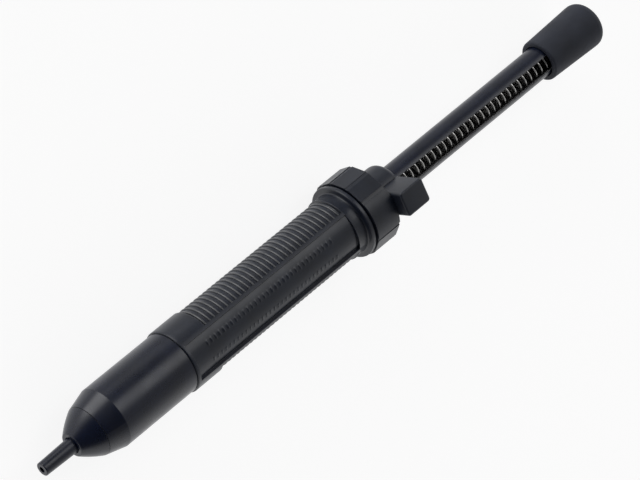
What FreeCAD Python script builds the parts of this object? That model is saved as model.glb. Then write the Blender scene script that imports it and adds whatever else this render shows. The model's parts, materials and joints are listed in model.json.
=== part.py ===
import FreeCAD, Part
import math
import os

from FreeCAD import Vector

# A plunger-type desoldering pump, in millimetres.
# The pump's axis is X. The origin is the centre of the nozzle's mouth, +X runs to the knob,
# and +Z is the side of the trigger button. The pump is drawn released: its knob stands fully out.
# Angles are measured about the axis from +Z towards +Y.

# ---- driving dimensions ----
BARREL_R = 11.0
BARREL_BORE_R = 8.5
SLEEVE_R = 11.5
SHAFT_R = 5.6
SHAFT_BORE_R = 4.7
STROKE = 72.0
TRIGGER_TRAVEL = 1.6
RUNNING_GAP = 0.05
REST_GAP = 0.1
SEAL_GAP = 0.02

# stations along the axis
NOSE_FRONT_X = 12.9
NOSE_SEAM_X = 20.3
SHOULDER_X = 27.5
SLEEVE_FRONT_X = 57.8
RIBS_START_X = 69.1
RIBS_END_X = 133.7
FLANGE_X = 138.2
NECK_X = 139.8
NECK_END_X = 145.0
COLLAR_FRONT_X = 140.2
COLLAR_REAR_X = 150.5
BOSS_REAR_X = 161.2
KNOB_FRONT_X = 238.8
KNOB_REAR_X = 266.9
SHAFT_REAR_X = 262.0

# nozzle tip
TIP_MOUTH_R = 2.36
TIP_ROOT_R = 2.68
TIP_PLUG_R = 2.9
TIP_END_X = 19.4
MOUTH_BORE_R = 1.05
MOUTH_BORE_LENGTH = 3.0
TIP_BORE_R = 1.6
TIP_SEAL_X = 16.7
TIP_SEAL_WIRE_R = 0.46
TIP_RIM = 0.3

# nose cap
NOSE_FACE_R = 4.3
NOSE_SEAM_R = 9.05
NOSE_BULGE = 0.2
NOSE_HOLE_R = 2.95
SPIGOT_R = 7.0
SPIGOT_END_X = 25.6
SPIGOT_BORE_R = 4.5
NOSE_SEAL_X = 23.9
NOSE_SEAL_WIRE_R = 0.5

# barrel
SEAM_GAP = 0.15
BARREL_TAIL_R = 9.6
BARREL_END_X = 136.9
CHAMBER_START_X = 31.0

# grip sleeve
SLEEVE_BORE_R = 9.65
SLEEVE_REAR_R = 11.3
NECK_R = 12.0
NECK_BORE_R = 6.0
FLANGE_R = 13.4
FLANGE_ROOT_FILLET = 0.5
RIB_COUNT = 32
RIB_ROOT_R = 10.62
RIB_CREST_R = 11.03
RIB_HALF_WIDTH = 0.42
DETAIL_ROOT = 0.1
RIB_ZONE_START = 41.3
RIB_ZONE_END = 180.0 - RIB_ZONE_START
PANEL_HALF_ANGLE = 34.8
PANEL_FLOOR_R = 10.45
PANEL_FRONT_X = 59.0
PANEL_REAR_X = 134.0
RELIEF_HEIGHT = 0.1
RELIEF_ROWS = ((12.0, 20.0), (-21.0, -13.0))
RELIEF_FIRST_X = 66.0
RELIEF_LAST_X = 124.0
RELIEF_COUNT = 32
RELIEF_WIDTH = 0.6

# rear collar
COLLAR_CORNER_R = 14.2
COLLAR_CORNERS = (30, 60, 90, 120, 150, 180, 210, 240, 270, 300, 330)
CHANNEL_FLOOR_R = 13.85
CHANNEL_HALF_ANGLE = 2.6
SOCKET_R = 12.05
SOCKET_END_X = 147.5
LATCH_CAVITY_R = 11.3
LATCH_CAVITY_END_X = 149.4
BOSS_R = 8.65
BOSS_FILLET = 2.4
BOSS_BORE_R = 5.85

# spring anchor
ANCHOR_FRONT_X = 145.05
ANCHOR_REAR_X = 147.4
ANCHOR_R = 11.9
ANCHOR_HOLE_R = 5.75
ANCHOR_KEY_WIDTH = 4.6
ANCHOR_DISC_R = 4.55

# trigger button, latch plate and its spring
BUTTON_FRONT_X = 150.6
BUTTON_REAR_X = 161.2
BUTTON_WIDTH = 8.8
BUTTON_TOP_Z = 18.5
BUTTON_FOOT_Z = 7.35
BUTTON_CORNER = 0.5
BUTTON_TOP_EDGE = 0.4
FOOT_WIDTH = 7.0
FOOT_LOW_Z = 9.3
FOOT_HIGH_Z = 10.6
LATCH_FRONT_X = 147.65
LATCH_REAR_X = 149.25
LATCH_R = 9.2
LATCH_HALF_WIDTH = 7.6
LATCH_WINDOW_R = 6.0
TOOTH_HALF_WIDTH = 2.0
DOWEL_R = 0.5
DOWEL_BELOW_FOOT = 1.4
DOWEL_INSET = 0.2
LEAF_THICKNESS = 0.3
LEAF_END_Y = 7.2

# loading shaft
SHAFT_FRONT_X = 112.0
SLOT_FRONT_X = 144.9
SLOT_REAR_X = 257.0
SLOT_WIDTH = 5.1
NOTCH_FLOOR_Z = -4.95
NOTCH_MARGIN = 0.3
CROSS_PIN_R = 0.9
CROSS_PIN_LENGTH = 11.0

# knob and the plug inside it
KNOB_FRONT_R = 7.6
KNOB_R = 8.35
KNOB_FULL_X = 261.0
KNOB_CORNER_R = 3.4
KNOB_DOME_ANGLE = 32.0
KNOB_MOUTH_R = 5.95
KNOB_BORE_R = 5.65
KNOB_MOUTH_DEPTH = 2.5
PLUG_R = 4.65
PLUG_FRONT_X = 252.0

# piston group
PISTON_FRONT_X = 106.0
PISTON_R = 8.42
PISTON_SEAL_X = 109.0
PISTON_SEAL_WIRE_R = 0.95
SPIGOT_LENGTH = 9.0
CLEANING_PIN_R = 0.8
CLEANING_PIN_TIP_X = 73.0
CLEANING_PIN_TIP_ROUND = 0.5

# guide bush and buffer
BUFFER_FRONT_X = 112.1
BUFFER_REAR_X = 115.1
BUSH_FRONT_X = 115.2
BUSH_REAR_X = 136.8

# main spring
SPRING_WIRE_R = 0.37
SPRING_OUTER_R = 4.4
SPRING_PITCH = 2.78

# a fused shape runs this far into the one it joins
OVERLAP = 0.5
# two values this close are the same
SAME = 0.01
# the middle of a quarter round lies this share of its radius in from the corner
ROUND = 1 - math.sqrt(0.5)

ORIGIN = Vector(0, 0, 0)
ALONG = Vector(1, 0, 0)
ACROSS = Vector(0, 1, 0)
UP = Vector(0, 0, 1)


# ---- shape helpers ----
def polar(x, radius, degrees):
    """The point at a station, a radius and an angle from +Z towards +Y."""
    angle = math.radians(degrees)
    return Vector(x, radius * math.sin(angle), radius * math.cos(angle))


def outline(steps):
    """A closed face in the XZ plane. A step is a corner (x, r), or (middle, end) for an arc."""
    ends = [step if not isinstance(step[0], tuple) else step[1] for step in steps]
    edges = []
    for i, step in enumerate(steps):
        before = Vector(ends[i - 1][0], 0, ends[i - 1][1])
        after = Vector(ends[i][0], 0, ends[i][1])
        if isinstance(step[0], tuple):
            middle = Vector(step[0][0], 0, step[0][1])
            edges.append(Part.Arc(before, middle, after).toShape())
        else:
            edges.append(Part.makeLine(before, after))
    return Part.Face(Part.Wire(edges))


def turned(*steps):
    """A solid of revolution about the pump's axis."""
    return outline(steps).revolve(ORIGIN, ALONG, 360)


def turned_part_way(face, start, end):
    """A face in the XZ plane, swept about the axis from one angle to another."""
    face.rotate(ORIGIN, ALONG, -start)
    return face.revolve(ORIGIN, ALONG, start - end)


def rod(radius, x0, x1):
    return Part.makeCylinder(radius, x1 - x0, Vector(x0, 0, 0), ALONG)


def ring(outer, inner, x0, x1):
    return rod(outer, x0, x1).cut(rod(inner, x0, x1))


def block(x0, x1, width, z0, z1):
    """A box that is centred across the pump."""
    return Part.makeBox(x1 - x0, width, z1 - z0, Vector(x0, -width / 2, z0))


def sector(inner, outer, start, end, x0, x1):
    """Part of a ring between two angles."""
    middle = (start + end) / 2
    low_arc = Part.Arc(polar(x0, inner, start), polar(x0, inner, middle), polar(x0, inner, end))
    high_arc = Part.Arc(polar(x0, outer, start), polar(x0, outer, middle), polar(x0, outer, end))
    sides = [
        Part.makeLine(polar(x0, inner, start), polar(x0, outer, start)),
        Part.makeLine(polar(x0, inner, end), polar(x0, outer, end)),
    ]
    loop = Part.Wire(Part.__sortEdges__([low_arc.toShape(), high_arc.toShape()] + sides))
    return Part.Face(loop).extrude(Vector(x1 - x0, 0, 0))


def o_ring(x, housing_r, wire_r):
    """A seal that just clears the bore it sits in."""
    return Part.makeTorus(housing_r - SEAL_GAP - wire_r, wire_r, Vector(x, 0, 0), ALONG)


def groove_floor(housing_r, wire_r):
    """The radius of the groove that holds such a seal."""
    return housing_r - 2 * (wire_r + SEAL_GAP)


def cross_pin(x):
    return Part.makeCylinder(CROSS_PIN_R, CROSS_PIN_LENGTH, Vector(x, -CROSS_PIN_LENGTH / 2, 0), ACROSS)


def rounded(shape, radius, wanted):
    """Fillet every edge that the test picks."""
    edges = [edge for edge in shape.Edges if wanted(edge)]
    return shape.makeFillet(radius, edges)


def is_along(edge, axis):
    """True for a straight edge that runs along an axis."""
    if not isinstance(edge.Curve, Part.Line):
        return False
    ends = [vertex.Point for vertex in edge.Vertexes]
    run = ends[1] - ends[0]
    return abs(run.dot(axis)) > 0.999 * run.Length


# ---- nozzle and nose ----
def nozzle_tip():
    """A slender tapered tip with a plug end that pushes into the nose and grips by its ring."""
    rim = TIP_RIM
    groove_r = groove_floor(NOSE_HOLE_R, TIP_SEAL_WIRE_R)
    groove_half = 0.7
    plug_x = NOSE_FRONT_X + 1.8
    step = 0.3
    bore_x = MOUTH_BORE_LENGTH + 2
    return turned(
        (0, MOUTH_BORE_R),
        (0, TIP_MOUTH_R - rim),
        ((ROUND * rim, TIP_MOUTH_R - ROUND * rim), (rim, TIP_MOUTH_R)),
        (NOSE_FRONT_X, TIP_ROOT_R),
        (plug_x - step, TIP_ROOT_R),
        (plug_x, TIP_PLUG_R),
        (TIP_SEAL_X - groove_half, TIP_PLUG_R),
        (TIP_SEAL_X - groove_half, groove_r),
        (TIP_SEAL_X + groove_half, groove_r),
        (TIP_SEAL_X + groove_half, TIP_PLUG_R),
        (TIP_END_X, TIP_PLUG_R),
        (TIP_END_X, TIP_BORE_R),
        (bore_x, TIP_BORE_R),
        (MOUTH_BORE_LENGTH, MOUTH_BORE_R),
    )


def nozzle_seal():
    return o_ring(TIP_SEAL_X, NOSE_HOLE_R, TIP_SEAL_WIRE_R)


def nose_cap():
    """A domed cap. Its spigot screws into the barrel, drawn here as a plain fit."""
    slope = math.atan2(NOSE_SEAM_R - NOSE_FACE_R, NOSE_SEAM_X - NOSE_FRONT_X)
    middle_x = (NOSE_FRONT_X + NOSE_SEAM_X) / 2 - NOSE_BULGE * math.sin(slope)
    middle_r = (NOSE_FACE_R + NOSE_SEAM_R) / 2 + NOSE_BULGE * math.cos(slope)
    groove_r = groove_floor(SPIGOT_R + RUNNING_GAP, NOSE_SEAL_WIRE_R)
    groove_half = 0.65
    edge = 0.3
    stop_x = TIP_END_X + REST_GAP
    throat_r = TIP_BORE_R + 0.2
    throat_end_x = stop_x + 2.5
    return turned(
        (NOSE_FRONT_X, NOSE_HOLE_R),
        (NOSE_FRONT_X, NOSE_FACE_R - edge),
        (NOSE_FRONT_X + edge / 2, NOSE_FACE_R),
        ((middle_x, middle_r), (NOSE_SEAM_X, NOSE_SEAM_R)),
        (NOSE_SEAM_X, SPIGOT_R),
        (NOSE_SEAL_X - groove_half, SPIGOT_R),
        (NOSE_SEAL_X - groove_half, groove_r),
        (NOSE_SEAL_X + groove_half, groove_r),
        (NOSE_SEAL_X + groove_half, SPIGOT_R),
        (SPIGOT_END_X, SPIGOT_R),
        (SPIGOT_END_X, SPIGOT_BORE_R),
        (throat_end_x, throat_r),
        (stop_x, throat_r),
        (stop_x, NOSE_HOLE_R),
    )


def nose_seal():
    return o_ring(NOSE_SEAL_X, SPIGOT_R + RUNNING_GAP, NOSE_SEAL_WIRE_R)


# ---- barrel and grip ----
def barrel():
    """The pump's cylinder: a tapered front, a plain grip stretch and a thin tail inside the sleeve."""
    taper = (BARREL_R - NOSE_SEAM_R) / (SHOULDER_X - NOSE_SEAM_X)
    front_x = NOSE_SEAM_X + SEAM_GAP
    front_r = NOSE_SEAM_R + SEAM_GAP * taper
    step_x = SLEEVE_FRONT_X - REST_GAP
    socket_end_x = SPIGOT_END_X + 0.4
    ledge_r = SPIGOT_BORE_R + 1
    ledge_end_x = SHOULDER_X - 0.5
    return turned(
        (front_x, SPIGOT_R + RUNNING_GAP),
        (front_x, front_r),
        (SHOULDER_X, BARREL_R),
        (step_x, BARREL_R),
        (step_x, BARREL_TAIL_R),
        (BARREL_END_X, BARREL_TAIL_R),
        (BARREL_END_X, BARREL_BORE_R),
        (CHAMBER_START_X, BARREL_BORE_R),
        (ledge_end_x, ledge_r),
        (socket_end_x, ledge_r),
        (socket_end_x, SPIGOT_R + RUNNING_GAP),
    )


def sleeve_body():
    """The sleeve's turned shape, with its flange and the neck that carries the collar."""
    edge = 0.3
    bore_end_x = BARREL_END_X + REST_GAP
    root = FLANGE_ROOT_FILLET
    return turned(
        (SLEEVE_FRONT_X, SLEEVE_BORE_R),
        (SLEEVE_FRONT_X, SLEEVE_R - edge),
        (SLEEVE_FRONT_X + edge, SLEEVE_R),
        (PANEL_REAR_X, SLEEVE_R),
        (PANEL_REAR_X + edge, SLEEVE_REAR_R),
        (FLANGE_X - root, SLEEVE_REAR_R),
        ((FLANGE_X - ROUND * root, SLEEVE_REAR_R + ROUND * root), (FLANGE_X, SLEEVE_REAR_R + root)),
        (FLANGE_X, FLANGE_R - edge),
        (FLANGE_X + edge, FLANGE_R),
        (NECK_X - edge, FLANGE_R),
        (NECK_X, FLANGE_R - edge),
        (NECK_X, NECK_R),
        (NECK_END_X, NECK_R),
        (NECK_END_X, NECK_BORE_R),
        (bore_end_x, NECK_BORE_R),
        (bore_end_x, SLEEVE_BORE_R),
    )


def rib_comb():
    """The section through the row of round-topped ribs, with a root that sinks into the sleeve."""
    root_r = RIB_ROOT_R - DETAIL_ROOT
    pitch = (RIBS_END_X - RIBS_START_X) / RIB_COUNT
    steps = [(RIBS_START_X, root_r), (RIBS_START_X, RIB_ROOT_R)]
    for i in range(RIB_COUNT):
        middle_x = RIBS_START_X + pitch * (i + 0.5)
        steps.append((middle_x - RIB_HALF_WIDTH, RIB_ROOT_R))
        steps.append(((middle_x, RIB_CREST_R), (middle_x + RIB_HALF_WIDTH, RIB_ROOT_R)))
    steps.append((RIBS_END_X, RIB_ROOT_R))
    steps.append((RIBS_END_X, root_r))
    return outline(steps)


def panel_relief():
    """Two rows of plain low bars that stand where a label would be."""
    spacing = (RELIEF_LAST_X - RELIEF_FIRST_X) / (RELIEF_COUNT - 1)
    root = PANEL_FLOOR_R - DETAIL_ROOT
    top = PANEL_FLOOR_R + RELIEF_HEIGHT
    bars = []
    for start, end in RELIEF_ROWS:
        for i in range(RELIEF_COUNT):
            x = RELIEF_FIRST_X + spacing * i
            bars.append(sector(root, top, start, end, x, x + RELIEF_WIDTH))
    return bars


def grip_sleeve():
    """The grip: a sleeve with two ribbed sides, two recessed panels, a flange and a neck."""
    body = sleeve_body()
    clear_r = SLEEVE_R + 1
    for side in (0, 180):
        zone = (RIB_ZONE_START + side, RIB_ZONE_END + side)
        body = body.cut(sector(RIB_ROOT_R, clear_r, *zone, RIBS_START_X, RIBS_END_X))
        body = body.fuse(turned_part_way(rib_comb(), *zone))
        panel = (side - PANEL_HALF_ANGLE, side + PANEL_HALF_ANGLE)
        body = body.cut(sector(PANEL_FLOOR_R, clear_r, *panel, PANEL_FRONT_X, PANEL_REAR_X))
    return body.fuse(panel_relief())


# ---- collar, boss and spring anchor ----
def collar_prism():
    """The twelve-sided collar: a round sector under the trigger, then flat facets."""
    x = COLLAR_FRONT_X
    corners = [polar(x, COLLAR_CORNER_R, angle) for angle in COLLAR_CORNERS]
    crown = Part.Arc(corners[-1], polar(x, COLLAR_CORNER_R, 0), corners[0])
    facets = [Part.makeLine(start, end) for start, end in zip(corners, corners[1:])]
    return Part.Face(Part.Wire([crown.toShape()] + facets)).extrude(Vector(COLLAR_REAR_X - x, 0, 0))


def corner_channels():
    """A shallow channel along each corner of the collar."""
    outer = COLLAR_CORNER_R + 1
    half = CHANNEL_HALF_ANGLE
    return [
        sector(CHANNEL_FLOOR_R, outer, angle - half, angle + half, COLLAR_FRONT_X, COLLAR_REAR_X)
        for angle in COLLAR_CORNERS
    ]


def boss():
    corner = ROUND * BOSS_FILLET
    root_x = COLLAR_REAR_X - OVERLAP
    return turned(
        (root_x, 0),
        (root_x, BOSS_R),
        (BOSS_REAR_X - BOSS_FILLET, BOSS_R),
        ((BOSS_REAR_X - corner, BOSS_R - corner), (BOSS_REAR_X, BOSS_R - BOSS_FILLET)),
        (BOSS_REAR_X, 0),
    )


def rear_collar():
    """The screw-on collar and its boss, hollowed for the neck, the latch, the shaft and the trigger."""
    body = collar_prism().cut(corner_channels()).fuse(boss())
    body = body.cut(rod(SOCKET_R, COLLAR_FRONT_X, SOCKET_END_X))
    body = body.cut(rod(LATCH_CAVITY_R, SOCKET_END_X, LATCH_CAVITY_END_X))
    body = body.cut(rod(BOSS_BORE_R, LATCH_CAVITY_END_X, BOSS_REAR_X))
    channel = BUTTON_WIDTH + 2 * REST_GAP
    body = body.cut(block(COLLAR_REAR_X, BOSS_REAR_X, channel, 0, BOSS_R))
    foot_low = FOOT_LOW_Z - TRIGGER_TRAVEL - REST_GAP
    foot_high = FOOT_HIGH_Z + REST_GAP
    foot_width = FOOT_WIDTH + 2 * REST_GAP
    return body.cut(block(LATCH_CAVITY_END_X, COLLAR_REAR_X, foot_width, foot_low, foot_high))


def spring_anchor():
    """A ring held between neck and collar, whose key reaches through the shaft's slot to a spring seat."""
    rim = ring(ANCHOR_R, ANCHOR_HOLE_R, ANCHOR_FRONT_X, ANCHOR_REAR_X)
    seat = rod(ANCHOR_DISC_R, ANCHOR_FRONT_X, ANCHOR_REAR_X)
    key_low = ANCHOR_DISC_R / 2
    key = block(ANCHOR_FRONT_X, ANCHOR_REAR_X, ANCHOR_KEY_WIDTH, key_low, ANCHOR_HOLE_R + 1)
    return rim.fuse([seat, key])


# ---- trigger ----
def dowel():
    """The pin that joins the latch plate to the trigger's foot."""
    low = FOOT_LOW_Z - DOWEL_BELOW_FOOT
    high = FOOT_HIGH_Z - DOWEL_INSET
    middle_x = (LATCH_FRONT_X + LATCH_REAR_X) / 2
    return Part.makeCylinder(DOWEL_R, high - low, Vector(middle_x, 0, low), UP)


def trigger_button():
    """A block that stands out behind the collar, with a foot that reaches in to the latch plate."""
    head = block(BUTTON_FRONT_X, BUTTON_REAR_X, BUTTON_WIDTH, BUTTON_FOOT_Z, BUTTON_TOP_Z)
    head = rounded(head, BUTTON_CORNER, lambda edge: is_along(edge, UP))
    head = rounded(head, BUTTON_TOP_EDGE, lambda edge: edge.BoundBox.ZMin > BUTTON_TOP_Z - SAME)
    foot = block(LATCH_FRONT_X, BUTTON_FRONT_X + OVERLAP, FOOT_WIDTH, FOOT_LOW_Z, FOOT_HIGH_Z)
    return head.fuse(foot).cut(dowel())


def latch_plate():
    """A steel plate round the shaft. Its tooth catches the shaft's notch from below."""
    plate = rod(LATCH_R, LATCH_FRONT_X, LATCH_REAR_X)
    plate = plate.common(block(LATCH_FRONT_X, LATCH_REAR_X, 2 * LATCH_HALF_WIDTH, -LATCH_R, LATCH_R))
    lift = TRIGGER_TRAVEL
    window = rod(LATCH_WINDOW_R, LATCH_FRONT_X, LATCH_REAR_X)
    raised = window.translated(Vector(0, 0, lift))
    middle = block(LATCH_FRONT_X, LATCH_REAR_X, 2 * LATCH_WINDOW_R, 0, lift)
    plate = plate.cut(window.fuse([raised, middle]))
    tooth_top = -SHAFT_R - RUNNING_GAP
    tooth_root = -LATCH_WINDOW_R - OVERLAP - TRIGGER_TRAVEL / 2
    tooth = block(LATCH_FRONT_X, LATCH_REAR_X, 2 * TOOTH_HALF_WIDTH, tooth_root, tooth_top)
    return plate.fuse(tooth).cut(dowel())


def trigger_spring():
    """A bowed leaf between the latch plate and the collar's cavity."""
    top_z = -LATCH_R - RUNNING_GAP
    end_z = LEAF_THICKNESS - math.sqrt((LATCH_CAVITY_R - RUNNING_GAP) ** 2 - LEAF_END_Y**2)
    x = LATCH_FRONT_X + REST_GAP
    width = LATCH_REAR_X - REST_GAP - x
    points = [Vector(x, -LEAF_END_Y, end_z), Vector(x, 0, top_z), Vector(x, LEAF_END_Y, end_z)]
    drop = Vector(0, 0, -LEAF_THICKNESS)
    upper = Part.Arc(*points).toShape()
    lower = Part.Arc(*[point + drop for point in points]).toShape()
    ends = [Part.makeLine(point, point + drop) for point in (points[0], points[2])]
    loop = Part.Wire(Part.__sortEdges__([upper, lower] + ends))
    return Part.Face(loop).extrude(Vector(width, 0, 0))


# ---- plunger ----
def loading_shaft():
    """A tube with one long slot over the spring and a latch notch on its closed side."""
    body = ring(SHAFT_R, SHAFT_BORE_R, SHAFT_FRONT_X, SHAFT_REAR_X)
    body = body.cut(block(SLOT_FRONT_X, SLOT_REAR_X, SLOT_WIDTH, 0, SHAFT_R + 1))
    notch_front = LATCH_FRONT_X + STROKE - NOTCH_MARGIN
    notch_rear = LATCH_REAR_X + STROKE + NOTCH_MARGIN
    body = body.cut(block(notch_front, notch_rear, 2 * SHAFT_R, -SHAFT_R - 1, NOTCH_FLOOR_Z))
    for x in (piston_pin_x(), plug_pin_x()):
        body = body.cut(cross_pin(x))
    return body


def knob():
    """A grip that flares to the rear and ends in a low dome."""
    edge = 0.8
    corner = KNOB_CORNER_R
    slope = math.radians(KNOB_DOME_ANGLE)
    dome_edge_r = KNOB_R - corner + corner * math.sin(slope)
    dome_r = dome_edge_r / math.sin(slope)
    dome_edge_x = KNOB_REAR_X - dome_r * (1 - math.cos(slope))
    corner_x = dome_edge_x - corner * math.cos(slope)
    half = (slope + math.pi / 2) / 2
    corner_middle = (corner_x + corner * math.cos(half), KNOB_R - corner + corner * math.sin(half))
    dome_middle_x = KNOB_REAR_X - dome_r * (1 - math.cos(slope / 2))
    dome_middle_r = dome_r * math.sin(slope / 2)
    floor_x = SHAFT_REAR_X + REST_GAP
    mouth_end_x = KNOB_FRONT_X + KNOB_MOUTH_DEPTH
    return turned(
        (KNOB_FRONT_X, KNOB_MOUTH_R),
        (KNOB_FRONT_X, KNOB_FRONT_R - edge),
        ((KNOB_FRONT_X + ROUND * edge, KNOB_FRONT_R - ROUND * edge), (KNOB_FRONT_X + edge, KNOB_FRONT_R)),
        (KNOB_FULL_X, KNOB_R),
        (corner_x, KNOB_R),
        (corner_middle, (dome_edge_x, dome_edge_r)),
        ((dome_middle_x, dome_middle_r), (KNOB_REAR_X, 0)),
        (floor_x, 0),
        (floor_x, KNOB_BORE_R),
        (mouth_end_x + OVERLAP, KNOB_BORE_R),
        (mouth_end_x, KNOB_MOUTH_R),
    )


def plug_pin_x():
    return (PLUG_FRONT_X + SHAFT_REAR_X) / 2 + 2


def piston_pin_x():
    return SHAFT_FRONT_X + SPIGOT_LENGTH / 2 + 1


def end_plug():
    """Closes the shaft inside the knob and takes the spring's push."""
    return rod(PLUG_R, PLUG_FRONT_X, SHAFT_REAR_X).cut(cross_pin(plug_pin_x()))


def plug_pin():
    return cross_pin(plug_pin_x())


def piston():
    """A disc with a ring groove, and a spigot that enters the shaft's front end."""
    groove_r = groove_floor(BARREL_BORE_R, PISTON_SEAL_WIRE_R)
    groove_half = PISTON_SEAL_WIRE_R + REST_GAP
    edge = 0.5
    body = turned(
        (PISTON_FRONT_X, 0),
        (PISTON_FRONT_X, PISTON_R - edge),
        (PISTON_FRONT_X + edge, PISTON_R),
        (PISTON_SEAL_X - groove_half, PISTON_R),
        (PISTON_SEAL_X - groove_half, groove_r),
        (PISTON_SEAL_X + groove_half, groove_r),
        (PISTON_SEAL_X + groove_half, PISTON_R),
        (SHAFT_FRONT_X, PISTON_R),
        (SHAFT_FRONT_X, PLUG_R),
        (SHAFT_FRONT_X + SPIGOT_LENGTH, PLUG_R),
        (SHAFT_FRONT_X + SPIGOT_LENGTH, 0),
    )
    body = body.cut(rod(CLEANING_PIN_R, PISTON_FRONT_X, SHAFT_FRONT_X))
    return body.cut(cross_pin(piston_pin_x()))


def piston_seal():
    return o_ring(PISTON_SEAL_X, BARREL_BORE_R, PISTON_SEAL_WIRE_R)


def piston_pin():
    return cross_pin(piston_pin_x())


def cleaning_pin():
    """A thin rod that clears the nozzle when the plunger is pushed home."""
    body = rod(CLEANING_PIN_R, CLEANING_PIN_TIP_X, SHAFT_FRONT_X)
    tip_end_x = CLEANING_PIN_TIP_X + SAME
    return rounded(body, CLEANING_PIN_TIP_ROUND, lambda edge: edge.BoundBox.XMax < tip_end_x)


def main_spring():
    """The coil spring inside the shaft, from the anchor's seat to the end plug."""
    inset = SPRING_WIRE_R + REST_GAP
    length = PLUG_FRONT_X - ANCHOR_REAR_X - 2 * inset
    mean_r = SPRING_OUTER_R - SPRING_WIRE_R
    path = Part.makeHelix(SPRING_PITCH, length, mean_r)
    wire = Part.Wire(Part.makeCircle(SPRING_WIRE_R, Vector(mean_r, 0, 0), ACROSS))
    coil = Part.Wire(path).makePipeShell([wire], True, True)
    coil.rotate(ORIGIN, ACROSS, 90)
    coil.translate(Vector(ANCHOR_REAR_X + inset, 0, 0))
    return coil


# ---- guides ----
def shaft_bush():
    """A long guide bush that keeps the shaft on the axis."""
    return ring(BARREL_BORE_R - RUNNING_GAP, SHAFT_R + RUNNING_GAP, BUSH_FRONT_X, BUSH_REAR_X)


def return_buffer():
    """A rubber ring that takes the piston's blow."""
    loose = 0.2
    return ring(BARREL_BORE_R - loose, SHAFT_R + loose, BUFFER_FRONT_X, BUFFER_REAR_X)


NODES = (
    nozzle_tip,
    nozzle_seal,
    nose_cap,
    nose_seal,
    barrel,
    grip_sleeve,
    rear_collar,
    spring_anchor,
    shaft_bush,
    return_buffer,
    trigger_button,
    latch_plate,
    trigger_spring,
    loading_shaft,
    knob,
    end_plug,
    plug_pin,
    piston,
    piston_seal,
    piston_pin,
    cleaning_pin,
    main_spring,
)


def main():
    os.makedirs("parts", exist_ok=True)
    for build in NODES:
        build().exportStep(f"parts/{build.__name__}.step")
    dowel().exportStep("parts/trigger_pin.step")


main()
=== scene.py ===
import json
import math

import bmesh
import bpy
from mathutils import Matrix, Vector


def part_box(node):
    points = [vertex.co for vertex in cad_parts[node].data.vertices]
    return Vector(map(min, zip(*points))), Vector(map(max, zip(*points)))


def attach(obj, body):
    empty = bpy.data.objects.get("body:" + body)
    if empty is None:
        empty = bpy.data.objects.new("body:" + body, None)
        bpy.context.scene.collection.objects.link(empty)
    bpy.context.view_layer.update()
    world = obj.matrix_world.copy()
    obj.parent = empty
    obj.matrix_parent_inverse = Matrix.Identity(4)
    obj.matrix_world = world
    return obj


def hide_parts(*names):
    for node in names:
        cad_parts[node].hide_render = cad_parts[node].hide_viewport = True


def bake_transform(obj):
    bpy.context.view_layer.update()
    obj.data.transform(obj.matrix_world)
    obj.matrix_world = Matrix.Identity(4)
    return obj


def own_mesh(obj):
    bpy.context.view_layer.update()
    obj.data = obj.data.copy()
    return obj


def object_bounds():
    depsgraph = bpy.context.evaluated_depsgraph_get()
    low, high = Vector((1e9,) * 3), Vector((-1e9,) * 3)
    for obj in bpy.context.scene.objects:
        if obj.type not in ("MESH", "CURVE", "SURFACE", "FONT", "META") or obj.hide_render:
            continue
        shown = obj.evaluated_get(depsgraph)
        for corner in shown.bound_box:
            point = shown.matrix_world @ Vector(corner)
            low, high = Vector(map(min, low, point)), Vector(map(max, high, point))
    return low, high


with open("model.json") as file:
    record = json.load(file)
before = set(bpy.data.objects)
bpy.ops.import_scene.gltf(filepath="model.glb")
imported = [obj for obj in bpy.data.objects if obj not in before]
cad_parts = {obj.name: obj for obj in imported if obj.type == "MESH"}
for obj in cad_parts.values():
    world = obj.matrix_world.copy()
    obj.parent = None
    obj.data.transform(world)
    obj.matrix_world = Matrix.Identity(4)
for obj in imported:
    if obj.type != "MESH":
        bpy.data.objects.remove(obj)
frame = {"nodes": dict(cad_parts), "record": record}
NODES = frame["nodes"]
CAD_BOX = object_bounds()

MM = 0.001

# ---- camera: where it looks, in metres, and its axes in the pump's frame ----
LOOK_AT_X = 0.126
LOOK_SHIFT = (0.00084, 0.00113)
CAMERA_DISTANCE = 1.132
CAMERA_RIGHT = Vector((0.6658, -0.3819, 0.6410))
CAMERA_UP = Vector((0.5470, 0.8340, -0.0710))
CAMERA_BACK = Vector((-0.5075, 0.3979, 0.7643))
LENS_MM = 197.0
SENSOR_MM = 36.0

# ---- light: a white tent, dim overhead and dark near the camera, with a shaded side, a lamp and a box ----
TENT_TILT = (0.0, 0.25, 1.0)
TENT_BRIGHT = 1.0
TENT_DIM = 0.42
TENT_DIM_HEIGHT = 0.55
DARK_SIDE = (-0.62, 0.03, 0.78)
DARK_NONE = 0.46
DARK_FULL = 0.75
DARK_SHARE = 0.12
LAMP_SIDE = (0.5075, 0.3979, 0.7643)
LAMP_EDGE_DEGREES = 23.0
LAMP_CORE_DEGREES = 4.0
LAMP_LEVEL = 1.75
BOX_SIDE = (-0.05, 0.998, 0.02)
BOX_EDGE_DEGREES = 28.5
BOX_CORE_DEGREES = 12.0
BOX_LEVEL = 2.9
SHADE_SIDE = (0.35, 0.937, 0.0)
SHADE_NONE = 0.6
SHADE_FULL = 0.95
SHADE_SHARE = 0.48
FLOOR_GLOW = 0.86
FLOOR_COLOR = 0.25
FLOOR_MOTTLE = 0.97
FLOOR_CLOUD_MM = 300.0
FLOOR_HALF_SIZE = 4.0
FLOOR_GAP_MM = 0.2


# ---- shader helpers ----
NOISE_ROUGHNESS = 0.55
NOISE_MIDDLE = (0.3, 0.7)
NOISE_CORE = (0.35, 0.65)
BEVEL_SAMPLES = 6
EDGE_LIKENESS = 0.90
FACE_LIKENESS = 0.995


def new_material(name):
    """A material with its node tree and its shader."""
    material = bpy.data.materials.new(name)
    material.use_nodes = True
    tree = material.node_tree
    return material, tree, tree.nodes["Principled BSDF"]


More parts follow.
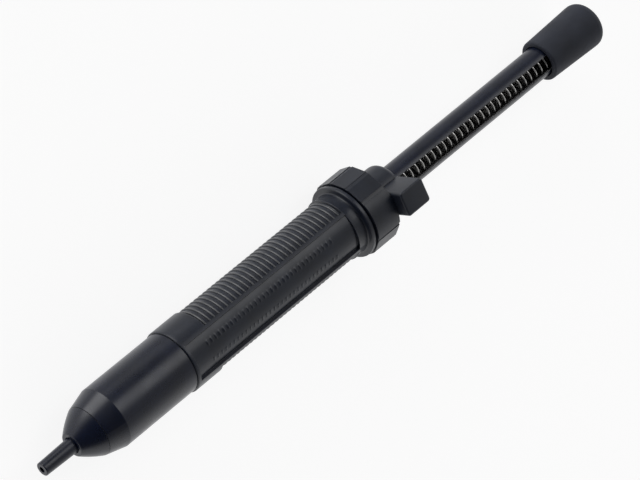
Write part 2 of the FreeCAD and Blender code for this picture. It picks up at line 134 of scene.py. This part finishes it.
def add(tree, kind, **values):
    """A shader node with its named inputs or properties set."""
    node = tree.nodes.new(kind)
    for key, value in values.items():
        if key in node.inputs:
            node.inputs[key].default_value = value
        else:
            setattr(node, key, value)
    return node


def noise(tree, size_mm, detail=3.0):
    """Cloudy noise in the object's own space; size_mm is about the size of one cloud."""
    scale = 1 / (size_mm * MM)
    node = add(tree, "ShaderNodeTexNoise", Scale=scale, Detail=detail, Roughness=NOISE_ROUGHNESS)
    place = add(tree, "ShaderNodeTexCoord")
    tree.links.new(place.outputs["Object"], node.inputs["Vector"])
    return node.outputs["Fac"]


def ramp(tree, source, low, high, low_value, high_value, smooth=False):
    """Maps a value from one range to another, and clamps it."""
    node = add(tree, "ShaderNodeMapRange")
    node.interpolation_type = "SMOOTHSTEP" if smooth else "LINEAR"
    node.inputs["From Min"].default_value = low
    node.inputs["From Max"].default_value = high
    node.inputs["To Min"].default_value = low_value
    node.inputs["To Max"].default_value = high_value
    tree.links.new(source, node.inputs["Value"])
    return node.outputs["Result"]


def calculate(tree, operation, first, second):
    """The result of an operation on two values; the second may be a number."""
    node = add(tree, "ShaderNodeMath", operation=operation)
    tree.links.new(first, node.inputs[0])
    if isinstance(second, float):
        node.inputs[1].default_value = second
    else:
        tree.links.new(second, node.inputs[1])
    return node.outputs[0]


def mix_colors(tree, factor, first, second):
    """A mix of two colours; the first may be the output of another node."""
    node = add(tree, "ShaderNodeMix", data_type="RGBA")
    colors = [socket for socket in node.inputs if socket.type == "RGBA"]
    if isinstance(first, tuple):
        colors[0].default_value = (*first, 1)
    else:
        tree.links.new(first, colors[0])
    colors[1].default_value = (*second, 1)
    tree.links.new(factor, node.inputs["Factor"])
    return [socket for socket in node.outputs if socket.type == "RGBA"][0]


def soft_edges(tree, radius_mm):
    """The normal of a shape whose sharp edges are rounded off."""
    return add(tree, "ShaderNodeBevel", samples=BEVEL_SAMPLES, Radius=radius_mm * MM).outputs["Normal"]


def near_edge(tree, rounded_normal):
    """1 on an edge, 0 on a plain face, judged by how far the rounded normal leans from the true one."""
    true_normal = add(tree, "ShaderNodeNewGeometry").outputs["Normal"]
    likeness = add(tree, "ShaderNodeVectorMath", operation="DOT_PRODUCT")
    tree.links.new(rounded_normal, likeness.inputs[0])
    tree.links.new(true_normal, likeness.inputs[1])
    return ramp(tree, likeness.outputs["Value"], EDGE_LIKENESS, FACE_LIKENESS, 1.0, 0.0)


def grain(tree, normal, size_mm, depth_mm):
    """A fine spark-eroded surface on top of a normal."""
    bump = add(tree, "ShaderNodeBump", Strength=1.0, Distance=depth_mm * MM)
    tree.links.new(noise(tree, size_mm, detail=2.0), bump.inputs["Height"])
    tree.links.new(normal, bump.inputs["Normal"])
    return bump.outputs["Normal"]


# ---- materials ----
# Edge-wear colour; on the grip's crests it is also a painted highlight.
WEAR_AND_HIGHLIGHT_COLOR = (0.034, 0.036, 0.042)
# Scuffs in the shaft's bore, made lighter still as painted light in its shade.
SCUFF_AND_PAINTED_LIGHT_COLOR = (0.11, 0.11, 0.115)
# A painted glint along the shaft's slot edges.
PAINTED_GLINT_COLOR = (0.30, 0.30, 0.31)
GRAIN_MM = 0.25
GRAIN_DEPTH_MM = 0.004
EDGE_PATCH_MM = 3.0
EDGE_PATCHES = (0.15, 0.8)
MOTTLE_MM = 9.0
MOTTLE_SHARES = (0.8, 1.35)
SMUDGE_MM = 7.0
SMUDGES = (-0.04, 0.05)
EDGE_POLISH = -0.08
STEEL_ROUGH_MM = 1.1
STEEL_ROUGHENING = (-0.06, 0.08)
TARNISH_MM = 4.0
TARNISH_SHARE = 0.75
RUBBER_BLOOM_MM = 5.0
RUBBER_BLOOM_SHARE = 1.5
RUBBER_ROUGH_MM = 2.5
RUBBER_ROUGHENING = (-0.08, 0.08)

# Where the grip's crests and the shaft's bore are found, in millimetres.
CREST_FADE = (-0.22, -0.05, 0.05, 0.15)
PANEL_FADE = 0.4
SKIN_DEPTH = 0.1
SHAFT_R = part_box("loading_shaft")[1].z / MM


def scaled(color, share):
    """A colour made darker or paler."""
    return tuple(min(1.0, channel * share) for channel in color)


def varied(tree, source, value, spread):
    """Noise turned into a value that varies a little, between two offsets."""
    return ramp(tree, source, *NOISE_MIDDLE, value + spread[0], value + spread[1])


def from_axis(tree, counted=(0, 1, 1)):
    """How far a point lies from the pump's axis in metres, measured along the counted directions only."""
    place = add(tree, "ShaderNodeTexCoord").outputs["Object"]
    across = add(tree, "ShaderNodeVectorMath", operation="MULTIPLY")
    tree.links.new(place, across.inputs[0])
    across.inputs[1].default_value = counted
    length = add(tree, "ShaderNodeVectorMath", operation="LENGTH")
    tree.links.new(across.outputs["Vector"], length.inputs[0])
    return length.outputs["Value"]


def on_crests(tree):
    """1 on the crests of the grip's ribs, 0 elsewhere, even where a panel's floor lies as high. The crests
    are painted paler: partly wear, partly a painted highlight along the ribs.
    """
    radius = from_axis(tree)
    crest_r = SLEEVE_R - RIB_ROOT_DEPTH + RIB_HEIGHT
    in_start, in_end, out_start, out_end = [(crest_r + offset) * MM for offset in CREST_FADE]
    above = ramp(tree, radius, in_start, in_end, 0.0, 1.0)
    below = ramp(tree, radius, out_start, out_end, 1.0, 0.0)
    panel_edge = SLEEVE_R * math.sin(math.radians(PANEL_HALF_DEGREES))
    beside = from_axis(tree, (0, 1, 0))
    off_panels = ramp(tree, beside, panel_edge * MM, (panel_edge + PANEL_FADE) * MM, 0.0, 1.0)
    return calculate(tree, "MULTIPLY", calculate(tree, "MULTIPLY", above, below), off_panels)


def in_bore(tree):
    """1 on the shaft's bore and slot walls, which carry scuffs from the spring and painted light, and 0 on
    its outside.
    """
    skin = SHAFT_R - SKIN_DEPTH
    return ramp(tree, from_axis(tree), (skin - SKIN_DEPTH) * MM, skin * MM, 1.0, 0.0)


def plastic(name, color, roughness, shine=0.5, edge_mm=0.12, edge_wear_and_glint_color=None, wear_and_painted_light=None):
    """Moulded plastic: fine grain, faint mottling, and edges made paler and smoother: worn edges, and a
    painted glint where the glint colour is given.

    The last argument is a function that finds a place, with the colour painted there: wear with a painted
    highlight on the grip's crests, scuffs with painted light in the shaft's bore.
    """
    material, tree, shader = new_material(name)
    shader.inputs["Specular IOR Level"].default_value = shine
    edges = soft_edges(tree, edge_mm)
    patchy = ramp(tree, noise(tree, EDGE_PATCH_MM), *NOISE_CORE, *EDGE_PATCHES)
    edge_wear_and_glint = calculate(tree, "MULTIPLY", near_edge(tree, edges), patchy)
    mottled = ramp(tree, noise(tree, MOTTLE_MM, detail=4.0), *NOISE_MIDDLE, 0.0, 1.0)
    darker, paler = [scaled(color, share) for share in MOTTLE_SHARES]
    body = mix_colors(tree, mottled, darker, paler)
    # A found place is painted paler: wear with a painted highlight on the crests, scuffs with painted light
    # in the bore.
    if wear_and_painted_light:
        find_place, wear_and_light_color = wear_and_painted_light
        place = find_place(tree)
        body = mix_colors(tree, place, body, wear_and_light_color)
        tree.links.new(ramp(tree, place, 0.0, 1.0, shine, 1.0), shader.inputs["Specular IOR Level"])
    # Edges are mixed towards a paler colour: wear, and on the shaft a painted glint.
    tree.links.new(mix_colors(tree, edge_wear_and_glint, body, edge_wear_and_glint_color or WEAR_AND_HIGHLIGHT_COLOR), shader.inputs["Base Color"])
    smudged = varied(tree, noise(tree, SMUDGE_MM, detail=5.0), roughness, SMUDGES)
    polished = calculate(tree, "MULTIPLY", edge_wear_and_glint, EDGE_POLISH)
    tree.links.new(calculate(tree, "ADD", smudged, polished), shader.inputs["Roughness"])
    tree.links.new(grain(tree, edges, GRAIN_MM, GRAIN_DEPTH_MM), shader.inputs["Normal"])
    return material


def steel(name, color, roughness):
    """Drawn or ground steel, slightly tarnished in places."""
    material, tree, shader = new_material(name)
    rough = varied(tree, noise(tree, STEEL_ROUGH_MM), roughness, STEEL_ROUGHENING)
    tree.links.new(rough, shader.inputs["Roughness"])
    clean = ramp(tree, noise(tree, TARNISH_MM), *NOISE_CORE, 0.0, 1.0)
    tint = mix_colors(tree, clean, scaled(color, TARNISH_SHARE), color)
    tree.links.new(tint, shader.inputs["Base Color"])
    shader.inputs["Metallic"].default_value = 1.0
    return material


def rubber(name, color, roughness):
    """Dull rubber with a faint bloom."""
    material, tree, shader = new_material(name)
    body = mix_colors(tree, noise(tree, RUBBER_BLOOM_MM), color, scaled(color, RUBBER_BLOOM_SHARE))
    tree.links.new(body, shader.inputs["Base Color"])
    rough = varied(tree, noise(tree, RUBBER_ROUGH_MM), roughness, RUBBER_ROUGHENING)
    tree.links.new(rough, shader.inputs["Roughness"])
    return material


def make_materials():
    """One material for each slot of the record."""
    blue_black = (0.0030, 0.0055, 0.0170)
    satin_black = (0.0070, 0.0100, 0.0190)
    grip_black = (0.0080, 0.0112, 0.0210)
    return {
        "tip_plastic": plastic("tip_plastic", blue_black, 0.30),
        "nose_plastic": plastic("nose_plastic", blue_black, 0.28),
        "barrel_plastic": plastic("barrel_plastic", blue_black, 0.28),
        # The crests are painted paler: partly wear, partly a painted highlight along the ribs.
        "sleeve_plastic": plastic("sleeve_plastic", grip_black, 0.33, wear_and_painted_light=(on_crests, WEAR_AND_HIGHLIGHT_COLOR)),
        "collar_plastic": plastic("collar_plastic", satin_black, 0.38, edge_mm=0.16),
        "trigger_plastic": plastic("trigger_plastic", satin_black, 0.40, edge_mm=0.2),
        # The shaft's slot edges get a painted glint, and its bore and slot walls get scuffs with painted
        # light.
        "shaft_plastic": plastic(
            "shaft_plastic",
            blue_black,
            0.30,
            edge_mm=0.6,
            edge_wear_and_glint_color=PAINTED_GLINT_COLOR,
            wear_and_painted_light=(in_bore, SCUFF_AND_PAINTED_LIGHT_COLOR),
        ),
        "knob_rubber": plastic("knob_rubber", (0.017, 0.020, 0.031), 0.66, shine=0.38),
        "seal_rubber": rubber("seal_rubber", (0.010, 0.010, 0.011), 0.6),
        "spring_steel": steel("spring_steel", (0.80, 0.79, 0.77), 0.20),
        "latch_steel": steel("latch_steel", (0.50, 0.50, 0.51), 0.38),
        "pin_steel": steel("pin_steel", (0.55, 0.55, 0.56), 0.25),
        "guide_plastic": plastic("guide_plastic", (0.62, 0.61, 0.56), 0.45),
    }


def dress_nodes(materials):
    """Gives every CAD node its material."""
    slots = {entry["node"]: entry["material_slot"] for entry in frame["record"]["subparts"]}
    for name, node in NODES.items():
        node.data.materials.clear()
        node.data.materials.append(materials[slots[name]])


# ---- pieces built here ----
QUARTER_STEPS = 4


def add_piece(name, vertices_mm, faces, stands_for, slot, sharp_degrees):
    """A piece from points in millimetres, which takes the place of one CAD node."""
    mesh = bpy.data.meshes.new(name)
    mesh.from_pydata([Vector(point) * MM for point in vertices_mm], [], faces)
    work = bmesh.new()
    work.from_mesh(mesh)
    bmesh.ops.recalc_face_normals(work, faces=work.faces)
    work.to_mesh(mesh)
    work.free()
    mesh.shade_smooth()
    mesh.set_sharp_from_angle(angle=math.radians(sharp_degrees))
    mesh.materials.append(MATERIALS[slot])
    piece = bpy.data.objects.new(name, mesh)
    bpy.context.scene.collection.objects.link(piece)
    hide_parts(stands_for)
    return piece


def bands(ring_count, count, closed=False):
    """Faces between neighbouring rings of points. A closed stack also joins its last ring to its first."""
    faces = []
    for i in range(ring_count if closed else ring_count - 1):
        row = i * count
        next_row = (i + 1) % ring_count * count
        for j in range(count):
            k = (j + 1) % count
            faces.append((row + j, row + k, next_row + k, next_row + j))
    return faces


def caps(ring_count, count):
    """The flat faces on the first and the last ring."""
    last = (ring_count - 1) * count
    return [tuple(range(count)), tuple(range(last, last + count))]


def quarter_turn():
    """Angles in radians, in even steps from 0 to 90 degrees."""
    return [math.radians(90 * step / QUARTER_STEPS) for step in range(QUARTER_STEPS + 1)]


def around(x, radius, degrees):
    """The point at a station, a radius and an angle from +Z towards +Y, in millimetres."""
    angle = math.radians(degrees)
    return (x, radius * math.sin(angle), radius * math.cos(angle))


def merged(values, smallest_gap):
    """Sorted values, without those that come closer than a gap."""
    kept = []
    for value in sorted(values):
        if not kept or value - kept[-1] > smallest_gap:
            kept.append(value)
    return kept


def cluster(middle, half_width, count):
    """Evenly spaced values across a narrow wall."""
    return [middle + half_width * (2 * i / (count - 1) - 1) for i in range(count)]


def wall(distance, half_width):
    """0 before a wall and 1 past it, with a rounded top and foot. distance is counted from its middle."""
    place = max(-1.0, min(1.0, distance / half_width))
    return 0.5 + 0.5 * math.sin(place * math.pi / 2)


# The grip sleeve. Lengths are in millimetres, and spans run along the axis from the nozzle's mouth.
SLEEVE_LOW, SLEEVE_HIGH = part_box("grip_sleeve")
SLEEVE_FRONT = SLEEVE_LOW.x / MM
SLEEVE_REAR = SLEEVE_HIGH.x / MM
FLANGE_R = SLEEVE_HIGH.z / MM
SLEEVE_R = 11.5
SLEEVE_REAR_R = 11.3
SLEEVE_BORE_R = 9.65
SLEEVE_EDGE = 0.3
PANEL_SPAN = (59.0, 134.0)
PANEL_HALF_DEGREES = 34.8
PANEL_DEPTH = 1.05
PANEL_DEEP_DEGREES = -40.0
RIB_SPAN = (69.1, 133.7)
RIB_EDGE_DEGREES = 41.3
RIB_COUNT = 32
RIB_ROOT_DEPTH = 0.88
RIB_HEIGHT = 0.41
RIB_HALF_WIDTH = 0.42
WALL_HALF = 0.04
RIB_END_HALF = 0.2
FLANGE_SPAN = (138.2, 139.8)
FLANGE_ROOT = 0.5
NECK_R = 12.0
NECK_BORE_R = 6.0
BORE_END_X = 137.0
BAR_ROWS = ((12.0, 20.0), (-21.0, -13.0))
BAR_SPAN = (66.0, 124.0)
BAR_COUNT = 32
BAR_WIDTH = 0.6
BAR_HEIGHT = 0.1
BAR_EDGE = 0.12

# How finely the sleeve's surface is divided.
WALL_POINTS = 9
RIB_END_POINTS = 7
BAR_EDGE_POINTS = 3
RIB_TURN_STEP = 18
ANGLE_STEP = 4
SMALLEST_STEP = 0.02
SMALLEST_ANGLE_STEP = 0.05


def rib_middles():
    """Stations of the ribs' middles."""
    pitch = (RIB_SPAN[1] - RIB_SPAN[0]) / RIB_COUNT
    return [RIB_SPAN[0] + pitch * (i + 0.5) for i in range(RIB_COUNT)]


def bar_fronts():
    """Stations of the bars' front edges."""
    spacing = (BAR_SPAN[1] - BAR_SPAN[0]) / (BAR_COUNT - 1)
    return [BAR_SPAN[0] + spacing * i for i in range(BAR_COUNT)]


def rib_height(x):
    """The height of the round-topped ribs over their root."""
    pitch = (RIB_SPAN[1] - RIB_SPAN[0]) / RIB_COUNT
    offset = (x - RIB_SPAN[0]) % pitch - pitch / 2
    if not RIB_SPAN[0] < x < RIB_SPAN[1] or abs(offset) >= RIB_HALF_WIDTH:
        return 0.0
    round_r = (RIB_HALF_WIDTH**2 + RIB_HEIGHT**2) / (2 * RIB_HEIGHT)
    return RIB_HEIGHT - round_r + math.sqrt(round_r**2 - offset**2)


def span_mask(x, span, half_width):
    """1 between two walls and 0 outside them."""
    return wall(x - span[0], half_width) * wall(span[1] - x, half_width)


def bar_height(x, degrees):
    """The height of the plain low bars that stand in the panel where a label would be."""
    if not BAR_SPAN[0] - BAR_EDGE < x < BAR_SPAN[1] + BAR_WIDTH + BAR_EDGE:
        return 0.0
    edge_degrees = math.degrees(BAR_EDGE / SLEEVE_R)
    across = max(span_mask(degrees, row, edge_degrees) for row in BAR_ROWS)
    spacing = (BAR_SPAN[1] - BAR_SPAN[0]) / (BAR_COUNT - 1)
    along = (x - BAR_SPAN[0]) % spacing
    if along > spacing - BAR_EDGE:
        along -= spacing
    return BAR_HEIGHT * across * span_mask(along, (0.0, BAR_WIDTH), BAR_EDGE)


def floor_depth(degrees):
    """The depth of a panel's floor: the grip's own curve, pushed in from the angle where it is deepest.

    The far panel is the same, turned half round.
    """
    return PANEL_DEPTH * abs(math.cos(math.radians(degrees - PANEL_DEEP_DEGREES)))


def recess(x, degrees):
    """How far the sleeve's surface lies below its full radius."""
    signed = (degrees + 180) % 360 - 180
    from_panel = min(abs(signed), 180 - abs(signed))
    wall_degrees = math.degrees(WALL_HALF / SLEEVE_R)
    panel = wall(PANEL_HALF_DEGREES - from_panel, wall_degrees) * span_mask(x, PANEL_SPAN, WALL_HALF)
    ribs = wall(from_panel - RIB_EDGE_DEGREES, wall_degrees) * span_mask(x, RIB_SPAN, RIB_END_HALF)
    panel_depth = floor_depth(signed) - bar_height(x, signed)
    return panel * panel_depth + ribs * (RIB_ROOT_DEPTH - rib_height(x))


def sleeve_stations():
    """Stations along the grip: close together at walls, ribs and bars."""
    stations = [SLEEVE_FRONT + SLEEVE_EDGE, BAR_SPAN[0] - 2 * BAR_EDGE, PANEL_SPAN[1] + SLEEVE_EDGE]
    for end in PANEL_SPAN:
        stations += cluster(end, WALL_HALF, WALL_POINTS)
    for end in RIB_SPAN:
        stations += cluster(end, RIB_END_HALF, RIB_END_POINTS)
    across_rib = [RIB_HALF_WIDTH * math.sin(math.radians(turn)) for turn in range(-90, 91, RIB_TURN_STEP)]
    for middle in rib_middles():
        stations += [middle + offset for offset in across_rib]
    for front in bar_fronts():
        for edge in (front, front + BAR_WIDTH):
            stations += cluster(edge, BAR_EDGE, BAR_EDGE_POINTS)
    return merged(stations, SMALLEST_STEP)


def quarter(x, radius, size, start_degrees):
    """Points round a quarter circle about (x, radius), backwards from one angle; 0 is along +X."""
    start = math.radians(start_degrees)
    turns = [start - angle for angle in quarter_turn()]
    return [(x + size * math.cos(turn), radius + size * math.sin(turn)) for turn in turns]


def sleeve_section():
    """The closed section that is turned to make the sleeve, as (station, full radius)."""
    edge = SLEEVE_EDGE
    front, rear = FLANGE_SPAN
    section = [(SLEEVE_FRONT, SLEEVE_BORE_R)]
    section += quarter(SLEEVE_FRONT + edge, SLEEVE_R - edge, edge, 180)[:-1]
    for x in sleeve_stations():
        section.append((x, SLEEVE_R if x <= PANEL_SPAN[1] + WALL_HALF else SLEEVE_REAR_R))
    for angle in quarter_turn():
        x = front - FLANGE_ROOT + FLANGE_ROOT * math.sin(angle)
        section.append((x, SLEEVE_REAR_R + FLANGE_ROOT * (1 - math.cos(angle))))
    section += quarter(front + edge, FLANGE_R - edge, edge, 180)
    section += quarter(rear - edge, FLANGE_R - edge, edge, 90)
    section += [(rear, NECK_R), (SLEEVE_REAR, NECK_R), (SLEEVE_REAR, NECK_BORE_R)]
    section += [(BORE_END_X, NECK_BORE_R), (BORE_END_X, SLEEVE_BORE_R)]
    return section


def sleeve_angles():
    """Angles round the grip: close together at the edges of panels, ribs and bars."""
    wall_degrees = math.degrees(WALL_HALF / SLEEVE_R)
    bar_degrees = math.degrees(BAR_EDGE / SLEEVE_R)
    angles = [float(angle) for angle in range(0, 360, ANGLE_STEP)]
    for edge in (PANEL_HALF_DEGREES, RIB_EDGE_DEGREES):
        for middle in (edge, 180 - edge, 180 + edge, 360 - edge):
            angles += cluster(middle, wall_degrees, WALL_POINTS)
    for row in BAR_ROWS:
        for edge in row:
            angles += [angle % 360 for angle in cluster(edge, bar_degrees, BAR_EDGE_POINTS)]
    return merged(angles, SMALLEST_ANGLE_STEP)


def build_sleeve():
    """The grip sleeve: the turned section, with panels and ribs sunk into its long middle part."""
    section = sleeve_section()
    angles = sleeve_angles()
    vertices = []
    for x, radius in section:
        is_grip = radius == SLEEVE_R
        for angle in angles:
            depth = recess(x, angle) if is_grip else 0.0
            vertices.append(around(x, radius - depth, angle))
    faces = bands(len(section), len(angles), closed=True)
    shell = add_piece("grip_shell", vertices, faces, "grip_sleeve", "sleeve_plastic", sharp_degrees=50)
    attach(shell, "housing")


# The main spring: closed end turns, then an even pitch.
SPRING_WIRE_R = 0.37
SPRING_PITCH = 2.78
SPRING_END_PITCH = 0.8
SPRING_END_TURNS = 1.5
SPRING_STEPS = 30
SPRING_SIDES = 10


def spring_path(start_x, end_x):
    """(x, turns) along the wire's centre line, with closed turns at both ends."""
    closed = SPRING_END_TURNS * SPRING_END_PITCH
    open_turns = (end_x - start_x - 2 * closed) / SPRING_PITCH
    total = open_turns + 2 * SPRING_END_TURNS
    steps = round(total * SPRING_STEPS)
    path = []
    for i in range(steps + 1):
        turns = total * i / steps
        at_front = min(turns, SPRING_END_TURNS)
        at_rear = max(0.0, turns - SPRING_END_TURNS - open_turns)
        opened = turns - at_front - at_rear
        path.append((start_x + (at_front + at_rear) * SPRING_END_PITCH + opened * SPRING_PITCH, turns))
    return path


def wire_ring(x, turns, mean_r):
    """A ring of points round the wire. Turns are counted from the side away from the trigger."""
    angle = 2 * math.pi * turns
    outward = Vector((0, math.sin(angle), -math.cos(angle)))
    centre = Vector((x, 0, 0)) + outward * mean_r
    ring = []
    for side in range(SPRING_SIDES):
        turn = 2 * math.pi * side / SPRING_SIDES
        offset = outward * math.cos(turn) + Vector((1, 0, 0)) * math.sin(turn)
        ring.append(centre + offset * SPRING_WIRE_R)
    return ring


def build_main_spring():
    """The coil spring, built at one length. The real spring is pressed together towards its front end as
    the plunger goes in.
    """
    low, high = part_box("main_spring")
    mean_r = high.z / MM - SPRING_WIRE_R
    path = spring_path(low.x / MM + SPRING_WIRE_R, high.x / MM - SPRING_WIRE_R)
    first_turn = SPRING_END_TURNS * (SPRING_END_PITCH / SPRING_PITCH - 1)
    vertices = []
    for x, turns in path:
        vertices += wire_ring(x, turns + first_turn, mean_r)
    faces = bands(len(path), SPRING_SIDES) + caps(len(path), SPRING_SIDES)
    coil = add_piece("spring_coil", vertices, faces, "main_spring", "spring_steel", sharp_degrees=60)
    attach(coil, "housing")
    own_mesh(coil)


def build_leaf_spring():
    """The trigger's leaf, copied from its CAD node as it stands. The real leaf's ends stay in the collar
    and its middle follows the latch plate.
    """
    node = NODES["trigger_spring"]
    vertices = [vertex.co / MM for vertex in node.data.vertices]
    faces = [tuple(face.vertices) for face in node.data.polygons]
    leaf = add_piece("return_leaf", vertices, faces, "trigger_spring", "latch_steel", sharp_degrees=40)
    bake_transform(leaf)


# The trigger's block and the foot that joins it to the latch plate.
BLOCK_FRONT_X = 150.6
BLOCK_CORNER = 1.1
BLOCK_TOP_EDGE = 0.6
BLOCK_CORNER_STEPS = 6
FOOT_HALF_WIDTH = 3.5
FOOT_SPAN = (9.3, 10.6)
FOOT_OVERLAP = 0.5


def block_ring(low, high, inset, z):
    """One level of the block: a rectangle with round corners, drawn in by an inset."""
    corner = BLOCK_CORNER - inset
    front, rear = BLOCK_FRONT_X + BLOCK_CORNER, high.x - BLOCK_CORNER
    right, left = low.y + BLOCK_CORNER, high.y - BLOCK_CORNER
    ring = []
    for turn, (x, y) in enumerate(((rear, left), (front, left), (front, right), (rear, right))):
        for step in range(BLOCK_CORNER_STEPS + 1):
            angle = math.radians(90 * (turn + step / BLOCK_CORNER_STEPS))
            ring.append((x + corner * math.cos(angle), y + corner * math.sin(angle), z))
    return ring


def foot_points(front_x):
    """The eight corners of the foot, low ones first. It reaches a little way into the block."""
    rear_x = BLOCK_FRONT_X + FOOT_OVERLAP
    width = FOOT_HALF_WIDTH
    outline = ((front_x, -width), (rear_x, -width), (rear_x, width), (front_x, width))
    return [(x, y, z) for z in FOOT_SPAN for x, y in outline]


def foot_faces(first):
    """The foot's six sides: two rings of four corners, numbered from the first one."""
    return [tuple(first + corner for corner in face) for face in caps(2, 4) + bands(2, 4)]


def build_trigger_block():
    """The trigger: a column with a rounded outline and a rounded top edge, and its foot."""
    low, high = [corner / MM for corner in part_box("trigger_button")]
    edge_z = high.z - BLOCK_TOP_EDGE
    rings = [block_ring(low, high, 0.0, low.z)]
    for angle in quarter_turn():
        inset = BLOCK_TOP_EDGE * (1 - math.cos(angle))
        rings.append(block_ring(low, high, inset, edge_z + BLOCK_TOP_EDGE * math.sin(angle)))
    count = len(rings[0])
    vertices = [point for ring in rings for point in ring]
    faces = caps(len(rings), count) + bands(len(rings), count) + foot_faces(len(vertices))
    vertices += foot_points(low.x)
    slot = "trigger_plastic"
    block = add_piece("trigger_block", vertices, faces, "trigger_button", slot, sharp_degrees=40)
    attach(block, "trigger")


# ---- stage ----
def toward(tree, direction, side):
    """How far a direction points to one side: 1 is straight at it."""
    node = add(tree, "ShaderNodeVectorMath", operation="DOT_PRODUCT")
    tree.links.new(direction, node.inputs[0])
    node.inputs[1].default_value = side
    return node.outputs["Value"]


def glow_at(tree, direction, side, edge_degrees, core_degrees, level):
    """A soft round patch of light around one direction."""
    edge = math.cos(math.radians(edge_degrees))
    core = math.cos(math.radians(core_degrees))
    return ramp(tree, toward(tree, direction, side), edge, core, 0.0, level, smooth=True)


def shaded_side(tree, direction):
    """The share of the tent's light that is left on its shaded side, and 1 elsewhere."""
    toward_shade = toward(tree, direction, SHADE_SIDE)
    return ramp(tree, toward_shade, SHADE_NONE, SHADE_FULL, 1.0, SHADE_SHARE, smooth=True)


def side_box(tree, direction):
    """The soft box beside the pump. It reaches below the horizon, and the floor shows that part."""
    return glow_at(tree, direction, BOX_SIDE, BOX_EDGE_DEGREES, BOX_CORE_DEGREES, BOX_LEVEL)


def floor_paper():
    """Paper that glows like the part of the tent that lies behind it."""
    material, tree, shader = new_material("floor_paper")
    darker = (FLOOR_COLOR * FLOOR_MOTTLE,) * 3
    tint = mix_colors(tree, noise(tree, FLOOR_CLOUD_MM), darker, (FLOOR_COLOR,) * 3)
    tree.links.new(tint, shader.inputs["Base Color"])
    shader.inputs["Roughness"].default_value = 1.0
    shader.inputs["Specular IOR Level"].default_value = 0.0
    shader.inputs["Emission Color"].default_value = (1, 1, 1, 1)
    back_along_ray = add(tree, "ShaderNodeNewGeometry").outputs["Incoming"]
    flip = add(tree, "ShaderNodeVectorMath", operation="SCALE", Scale=-1.0)
    tree.links.new(back_along_ray, flip.inputs[0])
    direction = flip.outputs["Vector"]
    cloth = calculate(tree, "MULTIPLY", shaded_side(tree, direction), FLOOR_GLOW)
    glow = calculate(tree, "ADD", side_box(tree, direction), cloth)
    tree.links.new(glow, shader.inputs["Emission Strength"])
    return material


def build_floor():
    """A large plain floor just under the pump."""
    mesh = bpy.data.meshes.new("floor")
    work = bmesh.new()
    bmesh.ops.create_grid(work, x_segments=2, y_segments=2, size=FLOOR_HALF_SIZE)
    work.to_mesh(mesh)
    work.free()
    mesh.materials.append(floor_paper())
    floor = bpy.data.objects.new("floor", mesh)
    floor.location = (LOOK_AT_X, 0, CAD_BOX[0].z - FLOOR_GAP_MM * MM)
    bpy.context.scene.collection.objects.link(floor)


def build_tent():
    """The studio's white tent, as a sky whose brightness depends only on direction."""
    world = bpy.data.worlds.new("studio")
    world.use_nodes = True
    tree = world.node_tree
    direction = add(tree, "ShaderNodeTexCoord").outputs["Generated"]
    cloth = ramp(tree, toward(tree, direction, TENT_TILT), 0.0, TENT_DIM_HEIGHT, TENT_BRIGHT, TENT_DIM)
    dark = toward(tree, direction, DARK_SIDE)
    shade = ramp(tree, dark, DARK_NONE, DARK_FULL, 1.0, DARK_SHARE, smooth=True)
    lamp = glow_at(tree, direction, LAMP_SIDE, LAMP_EDGE_DEGREES, LAMP_CORE_DEGREES, LAMP_LEVEL)
    lights = calculate(tree, "ADD", lamp, side_box(tree, direction))
    shaded = calculate(tree, "MULTIPLY", shade, shaded_side(tree, direction))
    total = calculate(tree, "ADD", calculate(tree, "MULTIPLY", cloth, shaded), lights)
    tree.links.new(total, tree.nodes["Background"].inputs["Strength"])
    tree.nodes["Background"].inputs["Color"].default_value = (1, 1, 1, 1)
    bpy.context.scene.world = world


def build_camera():
    """A long lens, far away, at the photo's angle."""
    data = bpy.data.cameras.new("camera")
    data.lens = LENS_MM
    data.sensor_width = SENSOR_MM
    camera = bpy.data.objects.new("camera", data)
    target = Vector((LOOK_AT_X, 0, 0)) + CAMERA_RIGHT * LOOK_SHIFT[0] + CAMERA_UP * LOOK_SHIFT[1]
    turn = Matrix((CAMERA_RIGHT, CAMERA_UP, CAMERA_BACK)).transposed().to_4x4()
    camera.matrix_world = Matrix.Translation(target + CAMERA_BACK * CAMERA_DISTANCE) @ turn
    bpy.context.scene.collection.objects.link(camera)
    bpy.context.scene.camera = camera


MATERIALS = make_materials()
dress_nodes(MATERIALS)
build_sleeve()
build_main_spring()
build_trigger_block()
build_leaf_spring()
build_floor()
build_tent()
build_camera()
bpy.context.scene.view_settings.view_transform = "Standard"
